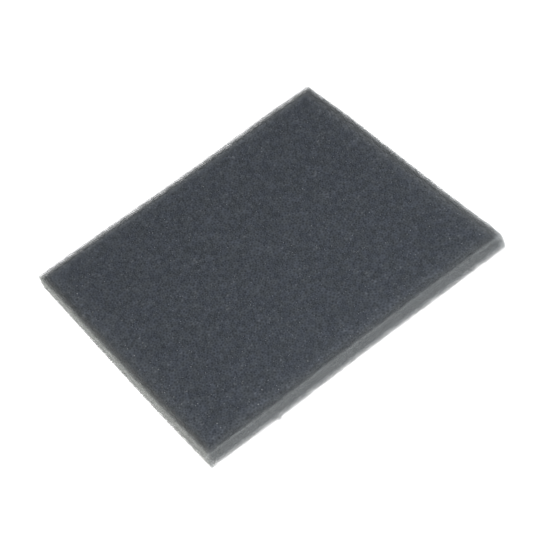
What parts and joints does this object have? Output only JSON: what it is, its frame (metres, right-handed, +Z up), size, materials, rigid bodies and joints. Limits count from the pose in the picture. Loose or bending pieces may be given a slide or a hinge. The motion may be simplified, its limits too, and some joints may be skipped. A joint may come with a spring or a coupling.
{
  "type": "foam air filter pad",
  "caption": "Flat rectangular pad of charcoal open-cell foam that lies in a small engine's air filter housing and catches dust from the intake air.",
  "frame": {"origin": "middle of the flat face that the pad lies on", "axes": "+X along the long side, +Y along the short side, +Z up through the thickness"},
  "size_m": [0.11, 0.1, 0.006],
  "materials": {
    "filter_foam": "matte open-cell polyurethane foam, charcoal blue-grey"
  },
  "bodies": {
    "root": {"foam_pad": "filter_foam"}
  },
  "joints": []
}
